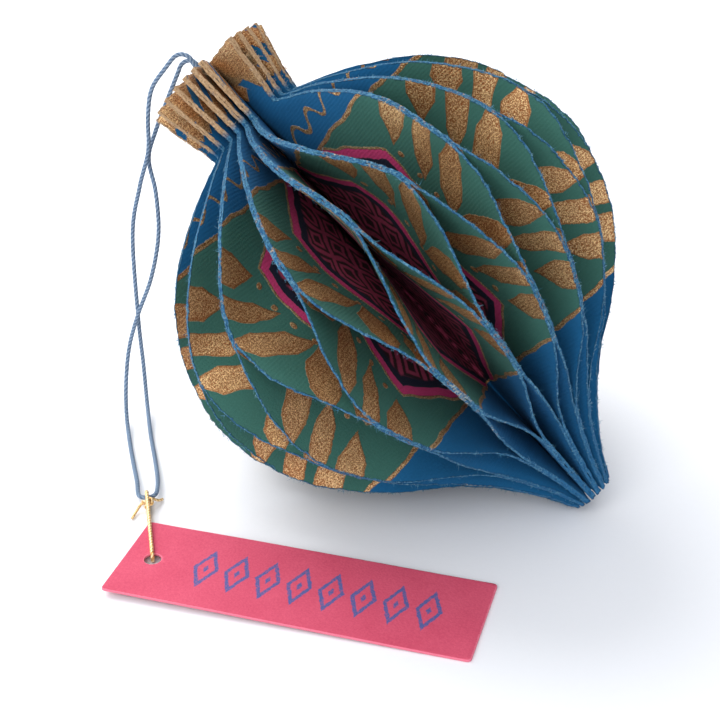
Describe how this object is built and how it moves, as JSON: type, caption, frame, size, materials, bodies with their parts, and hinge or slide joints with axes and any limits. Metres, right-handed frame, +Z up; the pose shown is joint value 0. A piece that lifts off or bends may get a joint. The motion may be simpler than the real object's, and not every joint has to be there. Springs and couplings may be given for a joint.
{
  "type": "honeycomb paper bauble",
  "caption": "Onion-shaped hanging bauble of folded cotton-paper leaves glued into honeycomb cells round a hollow core, with a flared crown, a cord loop and a bare swing tag.",
  "frame": {"origin": "middle of the paper's footprint box, on the table that the bauble lies on", "axes": "+Z up; the bauble's own axis lies in the XZ plane and leans back so that the crown points to -X and up; -Y is the side where the tag lies"},
  "size_m": [0.1059, 0.1071, 0.0872],
  "materials": {
    "printed_paper": "printed cotton-rag paper with torn, dyed edges and dull gold ink",
    "cord": "fine twisted cord",
    "tie_thread": "metallic thread",
    "tag_card": "uncoated dyed card"
  },
  "bodies": {
    "root": {"sheet_01": "printed_paper", "sheet_02": "printed_paper", "sheet_03": "printed_paper", "sheet_04": "printed_paper", "sheet_05": "printed_paper", "sheet_06": "printed_paper", "sheet_07": "printed_paper", "sheet_08": "printed_paper", "sheet_09": "printed_paper", "sheet_10": "printed_paper", "sheet_11": "printed_paper", "sheet_12": "printed_paper", "sheet_13": "printed_paper", "sheet_14": "printed_paper", "sheet_15": "printed_paper", "sheet_16": "printed_paper", "sheet_17": "printed_paper", "sheet_18": "printed_paper", "cord_knot": "cord", "hanging_cord": "cord", "tag_tie": "tie_thread", "tag": "tag_card"}
  },
  "joints": []
}
